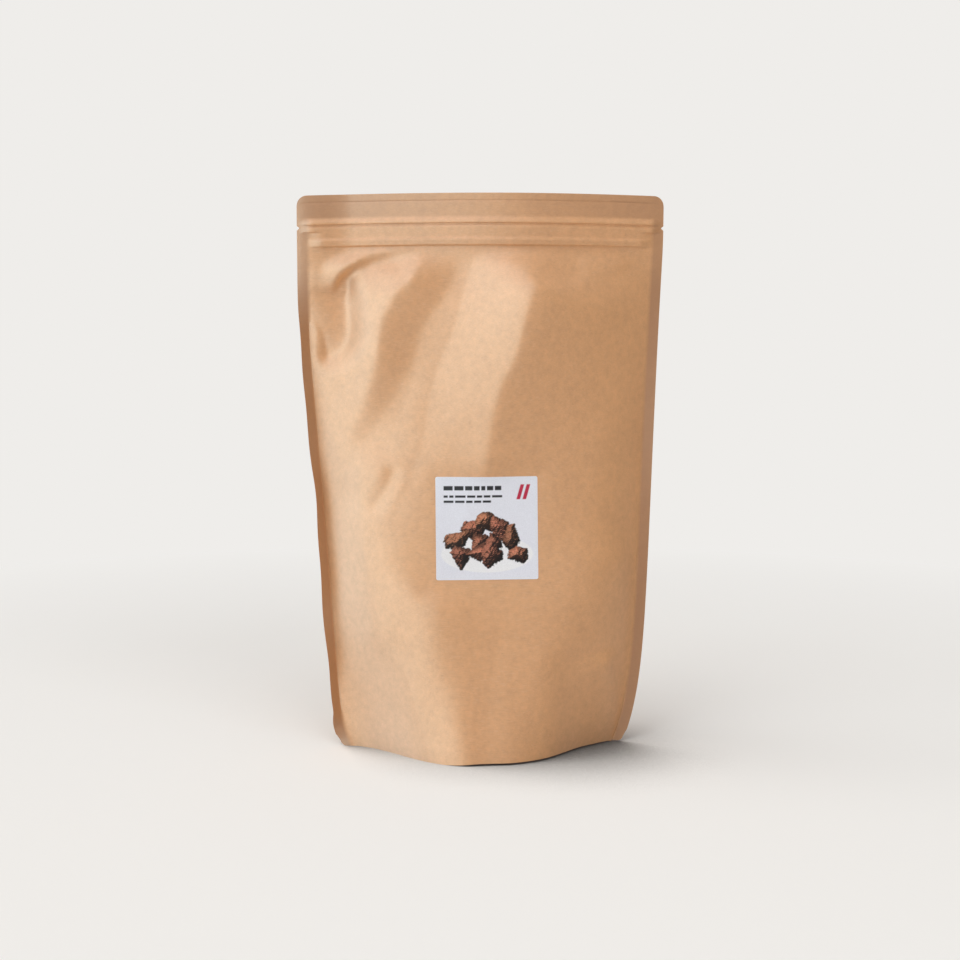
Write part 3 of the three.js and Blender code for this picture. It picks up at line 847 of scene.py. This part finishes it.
def lump_shade(height, u, v, size):
    """The cosine between the lump's slope and the light from the upper left, and 0 where it is negative."""
    rise_v, rise_u = np.gradient(height, v[1, 0] - v[0, 0], u[0, 1] - u[0, 0])
    facing = np.stack([-rise_u * size, -rise_v * size, np.full(u.shape, 0.9)], -1)
    return np.maximum(0, facing @ np.array(PRINT_LIGHT)) / np.linalg.norm(facing, axis=-1)


def paint_lumps(colour, u, v, look):
    """Paints rough lumps from the back row to the front one, each in its own seeded turn and tint, with
    pale crystals on its lit sides and a dark foot."""
    draw = np.random.default_rng(31)
    rough = fine_waves(u * 100, v * 100, seed=77, shortest=4, longest=16, count=30)
    crystals = fine_waves(u * 100, v * 100, seed=78, shortest=1.5, longest=4, count=40)
    for middle_u, middle_v, size in heap_places(draw):
        turn = draw.uniform(0, math.pi)
        squash = draw.uniform(0.78, 0.92)
        right = ((u - middle_u) * math.cos(turn) + (v - middle_v) * math.sin(turn)) / size
        up = ((v - middle_v) * math.cos(turn) - (u - middle_u) * math.sin(turn)) / size / squash
        height = lump_height(right, up, rough, crystals, draw)
        shade = lump_shade(height, u, v, size)
        tint = np.array(look.lump[:]) * draw.uniform(0.8, 1.3) * np.array([1, draw.uniform(0.9, 1.15), 1])
        stone = tint * (0.12 + 3.6 * shade**2)[..., None]
        pale = ramp(0.3, 1.4, crystals) * ramp(0.35, 0.95, shade)
        stone = paint(stone, 0.75 * pale, look.crystal[:])
        stone = stone * (0.25 + 0.75 * ramp(0.0, 0.5, height + 0.35 * up))[..., None]
        colour = paint(colour, ramp(-0.02, 0.06, height), stone)
    return colour


# Materials

def node(tree, kind, inputs=None, **settings):
    """Adds a shader node, sets its properties, and links or sets its inputs by name or number."""
    made = tree.nodes.new(kind)
    for name, value in settings.items():
        setattr(made, name, value)
    for name, value in (inputs or {}).items():
        if isinstance(value, bpy.types.NodeSocket):
            tree.links.new(value, made.inputs[name])
        else:
            made.inputs[name].default_value = value
    return made


def math_node(tree, operation, a, b):
    """The result of a Math node with two numbers or sockets."""
    return node(tree, "ShaderNodeMath", {0: a, 1: b}, operation=operation).outputs[0]


def times(tree, a, b):
    """The product of two numbers or sockets."""
    return math_node(tree, "MULTIPLY", a, b)


def map_range(tree, value, low, high, to_low=0.0, to_high=1.0):
    """A value scaled from low and high to two other numbers, and kept between them."""
    inputs = {"Value": value, "From Min": low, "From Max": high, "To Min": to_low, "To Max": to_high}
    return node(tree, "ShaderNodeMapRange", inputs).outputs["Result"]


def mix_colour(tree, share, a, b, blend="MIX"):
    """Two colours or colour sockets mixed by a share."""
    made = node(tree, "ShaderNodeMix", data_type="RGBA", blend_type=blend)
    for number, value in ((0, share), (6, a), (7, b)):
        if isinstance(value, bpy.types.NodeSocket):
            tree.links.new(value, made.inputs[number])
        else:
            made.inputs[number].default_value = value
    return made.outputs[2]


def new_group(name, inputs, outputs):
    """An empty shader node group with float or vector inputs and float outputs."""
    group = bpy.data.node_groups.new(name, "ShaderNodeTree")
    for label, kind, default in inputs:
        socket = group.interface.new_socket(name=label, in_out="INPUT", socket_type=kind)
        if default is not None:
            socket.default_value = default
    for label in outputs:
        group.interface.new_socket(name=label, in_out="OUTPUT", socket_type="NodeSocketFloat")
    return group, group.nodes.new("NodeGroupInput").outputs, group.nodes.new("NodeGroupOutput").inputs


def streaks(tree, vector, angle, long, wide, seed):
    """Noise drawn out along one direction in the walls' plane, as thin fibres of a length and width."""
    mapping = node(tree, "ShaderNodeMapping", {
        "Vector": vector, "Location": (seed, seed * 0.37, seed * 0.71),
        "Rotation": (0, angle, 0), "Scale": (1 / long, 1 / wide, 1 / wide)})
    return noise(tree, mapping.outputs[0], 1.0, 2.5, 0.6)


def noise(tree, vector, scale, detail, roughness=0.5):
    """Noise over a vector, about 0.5."""
    inputs = {"Vector": vector, "Scale": scale, "Detail": detail, "Roughness": roughness}
    return node(tree, "ShaderNodeTexNoise", inputs).outputs["Fac"]


def weighted_sum(tree, parts):
    """The sum of sockets, each times its weight."""
    total = times(tree, *parts[0])
    for socket, weight in parts[1:]:
        total = math_node(tree, "ADD", total, times(tree, socket, weight))
    return total


def flecks(tree, vector, size):
    """Small dots in a few seeded cells of a size: a cell is drawn where its own first number is over
    0.95, and its second number gives the dot's radius."""
    scaled = node(tree, "ShaderNodeVectorMath", {0: vector}, operation="SCALE")
    tree.links.new(math_node(tree, "DIVIDE", 1.0, size), scaled.inputs["Scale"])
    cells = node(tree, "ShaderNodeTexVoronoi", {"Vector": scaled.outputs[0], "Scale": 1.0})
    split = node(tree, "ShaderNodeSeparateColor", {"Color": cells.outputs["Color"]})
    rare = math_node(tree, "GREATER_THAN", split.outputs[0], 0.95)
    radius = map_range(tree, split.outputs[1], 0.0, 1.0, 0.12, 0.45)
    return times(tree, rare, map_range(tree, cells.outputs["Distance"], radius, 0.05))


def fibre_group():
    """Paper fibres: pale streaks, dark streaks, cloudy mottle, scattered flecks and the surface height."""
    group, given, wanted = new_group(
        "Paper fibres",
        [("Vector", "NodeSocketVector", None), ("Fleck size", "NodeSocketFloat", 1.1 * MM)],
        ["Pale", "Dark", "Mottle", "Fleck", "Height"])
    vector = given["Vector"]
    level, falling, rising = (streaks(group, vector, math.radians(angle), 4.2 * MM, 0.42 * MM, seed)
                              for angle, seed in ((4, 1.3), (-17, 5.1), (31, 9.7)))
    cloud = noise(group, vector, 260.0, 5.0, 0.7)
    broad = noise(group, vector, 42.0, 4.0, 0.6)
    grain = noise(group, vector, 1500.0, 2.0)
    results = {
        "Pale": math_node(group, "MAXIMUM", map_range(group, level, 0.56, 0.74),
                          map_range(group, falling, 0.6, 0.78)),
        "Dark": math_node(group, "MAXIMUM", map_range(group, rising, 0.6, 0.78),
                          map_range(group, level, 0.42, 0.26)),
        "Mottle": weighted_sum(group, [(cloud, 0.72), (broad, 0.28)]),
        "Fleck": flecks(group, vector, given["Fleck size"]),
        "Height": weighted_sum(group, [(level, 0.5), (falling, 0.35), (cloud, 0.8), (grain, 0.25)]),
    }
    for label, value in results.items():
        group.links.new(value, wanted[label])
    return group


def new_material(name):
    """An empty node material and its tree."""
    material = bpy.data.materials.new(name)
    material.use_nodes = True
    tree = material.node_tree
    tree.nodes.clear()
    return material, tree


def finish_material(tree, colour, roughness, height, look):
    """The principled shader at the end of a material, with its bump."""
    bump = node(tree, "ShaderNodeBump", {"Height": height, "Distance": look.grain, "Strength": 1.0})
    shader = node(tree, "ShaderNodeBsdfPrincipled", {
        "Base Color": colour, "Roughness": roughness, "Normal": bump.outputs[0],
        "Specular IOR Level": look.specular})
    output = node(tree, "ShaderNodeOutputMaterial")
    tree.links.new(shader.outputs[0], output.inputs["Surface"])
    return shader


def opaque(colour, brightness=1.0):
    """A colour times a brightness, at most 1, with full alpha."""
    return (*np.minimum(1, np.array(colour) * brightness), 1.0)


def kraft_material(look, fibres):
    """Satin kraft paper: brown with pale and dark fibres, mottle and flecks, darker where it is sealed
    and raw at its cut edges, under a soft clear coat."""
    material, tree = new_material("kraft_paper_satin")
    place = node(tree, "ShaderNodeTexCoord").outputs["Object"]
    grain = node(tree, "ShaderNodeGroup", node_tree=fibres)
    tree.links.new(place, grain.inputs["Vector"])
    grain.inputs["Fleck size"].default_value = look.fleck
    pale, dark, mottle, fleck, height = grain.outputs
    cut = node(tree, "ShaderNodeAttribute", attribute_name="cut_edge").outputs["Fac"]
    sealed = node(tree, "ShaderNodeAttribute", attribute_name="sealed").outputs["Fac"]
    shade = map_range(tree, mottle, 0.36, 0.64, 0.0, 0.55)
    colour = mix_colour(tree, shade, opaque(look.base, 1.07), opaque(look.base, 0.76))
    colour = mix_colour(tree, times(tree, pale, 0.42), colour, opaque(look.pale))
    for mask, share in ((dark, 0.30), (fleck, 0.22), (sealed, 0.8)):
        colour = mix_colour(tree, times(tree, mask, share), colour, opaque(look.dark))
    colour = mix_colour(tree, times(tree, cut, 0.5), colour, opaque(look.pale, 1.05))
    rough = map_range(tree, mottle, 0.35, 0.65, look.roughness - 0.04, look.roughness + 0.06)
    rough = math_node(tree, "ADD", rough, times(tree, cut, 0.2))
    shader = finish_material(tree, colour, rough, height, look)
    shader.inputs["Coat Weight"].default_value = look.coat
    shader.inputs["Coat Roughness"].default_value = look.coat_roughness
    shader.inputs["Coat IOR"].default_value = look.coat_ior
    return material


def label_material(look, fibres):
    """Semi-gloss printed paper: the print is an attribute of the label's face, under a faint mottle."""
    material, tree = new_material("label_paper_print")
    place = node(tree, "ShaderNodeTexCoord").outputs["Object"]
    grain = node(tree, "ShaderNodeGroup", node_tree=fibres)
    tree.links.new(place, grain.inputs["Vector"])
    design = node(tree, "ShaderNodeAttribute", attribute_name="print").outputs["Color"]
    dots = map_range(tree, noise(tree, place, 2600.0, 1.0), 0.3, 0.7, 0.94, 1.05)
    cloud = map_range(tree, grain.outputs["Mottle"], 0.3, 0.7, 0.985, 1.015)
    tone = times(tree, dots, cloud)
    grey = node(tree, "ShaderNodeCombineColor", {0: tone, 1: tone, 2: tone})
    colour = mix_colour(tree, 1.0, design, grey.outputs[0], "MULTIPLY")
    rough = map_range(tree, grain.outputs["Mottle"], 0.35, 0.65, 0.34, 0.44)
    finish_material(tree, colour, rough, grain.outputs["Height"], look)
    return material


def floor_material(look):
    """Pale matt paper round the pouch that turns into an even glow of the same colour far from it, so
    that floor and backdrop meet without a line. Near the pouch its colour carries a painted shadow: it
    darkens where the pouch stands in the way to the upper left and the back, close to its rim, right of
    it and in front of it."""
    material, tree = new_material("studio_paper")
    place = node(tree, "ShaderNodeTexCoord").outputs["Object"]
    far = node(tree, "ShaderNodeVectorMath", {0: place}, operation="LENGTH").outputs["Value"]
    glow = map_range(tree, far, *FLOOR_GLOW)
    way = node(tree, "ShaderNodeCombineXYZ", dict(enumerate(look.contact_way))).outputs[0]
    seen = {"Distance": look.contact_reach, "Normal": way}
    open_way = node(tree, "ShaderNodeAmbientOcclusion", seen, samples=8).outputs["AO"]
    # painted shadow: where little open sky is seen along the contact way, the floor's colour is darkened
    # towards a tenth of itself
    contact = map_range(tree, open_way, 0.28, 0.74, 0.95, 0.0)
    paper = mix_colour(tree, contact, opaque(look.floor), opaque(look.floor, 0.1))
    diffuse = node(tree, "ShaderNodeBsdfDiffuse", {"Color": paper, "Roughness": 0.5})
    light = node(tree, "ShaderNodeEmission", {"Color": opaque(look.floor), "Strength": 1.0})
    both = node(tree, "ShaderNodeMixShader", {0: glow, 1: diffuse.outputs[0], 2: light.outputs[0]})
    output = node(tree, "ShaderNodeOutputMaterial")
    tree.links.new(both.outputs[0], output.inputs["Surface"])
    return material


# Studio

def build_floor(look):
    """A round table top: rings of growing radius in millimetres, each a circle of points."""
    turn = np.linspace(0, 2 * math.pi, FLOOR_CORNERS + 1)[:-1]
    radius = np.array(FLOOR_RINGS)[:, None]
    x = radius * np.cos(turn)
    y = radius * np.sin(turn)
    points = np.stack([x, y, np.zeros(x.shape)], -1)
    numbers = np.arange(x.size).reshape(x.shape)
    rings = grid_quads(np.hstack([numbers, numbers[:, :1]]))[:, ::-1]
    floor = mesh_piece("studio_floor", points.reshape(-1, 3), rings)
    floor.data.materials.append(floor_material(look))
    floor.visible_glossy = False


def aimed(place, aim):
    """The turn of a lamp or a camera that stands at a place and looks at its aim."""
    return (Vector(aim) - Vector(place)).to_track_quat("-Z", "Y").to_euler()


def add_soft_light(name, turn, rise, distance, size, watts):
    """An area light of a width and a height, at a distance from the pouch's middle and turned to it.
    Its own turn is to the left of straight in front, and its rise is above the level."""
    light = bpy.data.lights.new(name, "AREA")
    light.shape = "RECTANGLE"
    light.size, light.size_y = size
    light.energy = watts
    level = distance * math.cos(rise)
    lamp = bpy.data.objects.new(name, light)
    place = (-level * math.sin(turn), -level * math.cos(turn), AIM_HEIGHT + distance * math.sin(rise))
    lamp.location = place
    lamp.rotation_euler = aimed(place, (0, 0, AIM_HEIGHT))
    bpy.context.scene.collection.objects.link(lamp)
    return lamp


def build_lights(look):
    """The key light, the window that only shows in gloss and the fill that never does."""
    add_soft_light("key_light", look.key_turn, look.key_rise, look.light_distance, KEY_SIZE, look.key_watts)
    window = add_soft_light("window_light", look.sheen_turn, look.sheen_rise, look.light_distance,
                            WINDOW_SIZE, look.sheen_watts)
    window.visible_diffuse = False
    window.data.color = look.sheen_colour
    fill = add_soft_light("fill_light", look.fill_turn, look.fill_rise, look.light_distance,
                          FILL_SIZE, look.fill_watts)
    fill.visible_glossy = False


def build_room(look):
    """Light from a wide ceiling that fades towards the horizon, and from below it the glow that the lit
    floor would give in the paper's gloss, weaker from the right. The camera sees an even backdrop of
    the floor's own colour instead, so that floor and backdrop meet without a line from any side."""
    world = bpy.data.worlds.new("studio_room")
    world.use_nodes = True
    tree = world.node_tree
    tree.nodes.clear()
    direction = node(tree, "ShaderNodeTexCoord").outputs["Generated"]
    across, _, up = node(tree, "ShaderNodeSeparateXYZ", {0: direction}).outputs
    above = map_range(tree, up, 0.1, 0.75, look.room_sides, look.room)
    below = map_range(tree, up, -0.04, -0.2, 0.0, look.room_floor)
    below = times(tree, below, map_range(tree, across, -0.1, 0.4, 1.0, 0.25))
    strength = math_node(tree, "ADD", above, below)
    light = node(tree, "ShaderNodeBackground", {"Color": opaque(look.room_colour), "Strength": strength})
    backdrop = node(tree, "ShaderNodeBackground", {"Color": opaque(look.floor), "Strength": 1.0})
    seen = node(tree, "ShaderNodeLightPath").outputs["Is Camera Ray"]
    both = node(tree, "ShaderNodeMixShader", {0: seen, 1: light.outputs[0], 2: backdrop.outputs[0]})
    output = node(tree, "ShaderNodeOutputWorld")
    tree.links.new(both.outputs[0], output.inputs["Surface"])
    bpy.context.scene.world = world


def build_camera(look):
    """A camera at the photo's height and turn, aimed at the middle of the pouch."""
    data = bpy.data.cameras.new("camera")
    data.lens = look.lens
    data.sensor_width = 36.0
    data.clip_end = 50.0
    camera = bpy.data.objects.new("camera", data)
    place = (-look.distance * math.sin(look.turn), -look.distance * math.cos(look.turn), look.height)
    camera.location = place
    camera.rotation_euler = aimed(place, (look.aim_x, 0, look.aim_z))
    bpy.context.scene.collection.objects.link(camera)
    bpy.context.scene.camera = camera


# Operators and panel

class POUCH_OT_make_body(bpy.types.Operator):
    """Build the filled pouch in kraft paper in place of its CAD solid"""
    bl_idname = "pouch.make_body"
    bl_label = "Make pouch"

    def execute(self, context):
        scene = context.scene
        pouch = build_pouch(scene.pouch_shape)
        pouch.data.materials.append(kraft_material(scene.pouch_paper, shared_fibres()))
        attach(pouch, "root")
        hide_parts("pouch")
        return {"FINISHED"}


class POUCH_OT_make_label(bpy.types.Operator):
    """Build the printed label on the pouch's front wall"""
    bl_idname = "pouch.make_label"
    bl_label = "Make label"

    def execute(self, context):
        scene = context.scene
        label = build_label(scene.pouch_label, scene.pouch_shape)
        label.data.materials.append(label_material(scene.pouch_label, shared_fibres()))
        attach(label, "root")
        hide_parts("label")
        return {"FINISHED"}


class POUCH_OT_set_studio(bpy.types.Operator):
    """Set the pale floor, the soft lights and the camera"""
    bl_idname = "pouch.set_studio"
    bl_label = "Set studio"

    def execute(self, context):
        look = context.scene.pouch_studio
        build_floor(look)
        build_room(look)
        build_lights(look)
        build_camera(look)
        context.scene.view_settings.view_transform = "Standard"
        return {"FINISHED"}


class POUCH_PT_panel(bpy.types.Panel):
    """Lists the pouch's operators and settings in the sidebar"""
    bl_idname = "POUCH_PT_panel"
    bl_label = "Sugar pouch"
    bl_space_type = "VIEW_3D"
    bl_region_type = "UI"
    bl_category = "Pouch"

    def draw(self, context):
        column = self.layout.column()
        for operator in OPERATORS:
            column.operator(operator.bl_idname)
        for group in SETTINGS:
            for name in SETTINGS[group].__annotations__:
                column.prop(getattr(context.scene, group), name)


def shared_fibres():
    """The paper fibre group, built once."""
    return bpy.data.node_groups.get("Paper fibres") or fibre_group()


OPERATORS = (POUCH_OT_make_body, POUCH_OT_make_label, POUCH_OT_set_studio)
SETTINGS = {"pouch_shape": PouchShape, "pouch_paper": PaperLook, "pouch_label": LabelLook,
            "pouch_studio": StudioLook}


def register():
    """Registers the settings, operators and panel, and hangs the settings on the scene."""
    for cls in (*SETTINGS.values(), *OPERATORS, POUCH_PT_panel):
        bpy.utils.register_class(cls)
    for name, cls in SETTINGS.items():
        setattr(bpy.types.Scene, name, PointerProperty(type=cls))


def unregister():
    """Takes away what register has made."""
    for name in SETTINGS:
        delattr(bpy.types.Scene, name)
    for cls in (POUCH_PT_panel, *reversed(OPERATORS), *reversed(SETTINGS.values())):
        bpy.utils.unregister_class(cls)


def main():
    """Builds the stage, the pouch and its label."""
    register()
    bpy.ops.pouch.set_studio()
    bpy.ops.pouch.make_body()
    bpy.ops.pouch.make_label()
    bpy.context.view_layer.update()


if __name__ == "__main__":
    main()
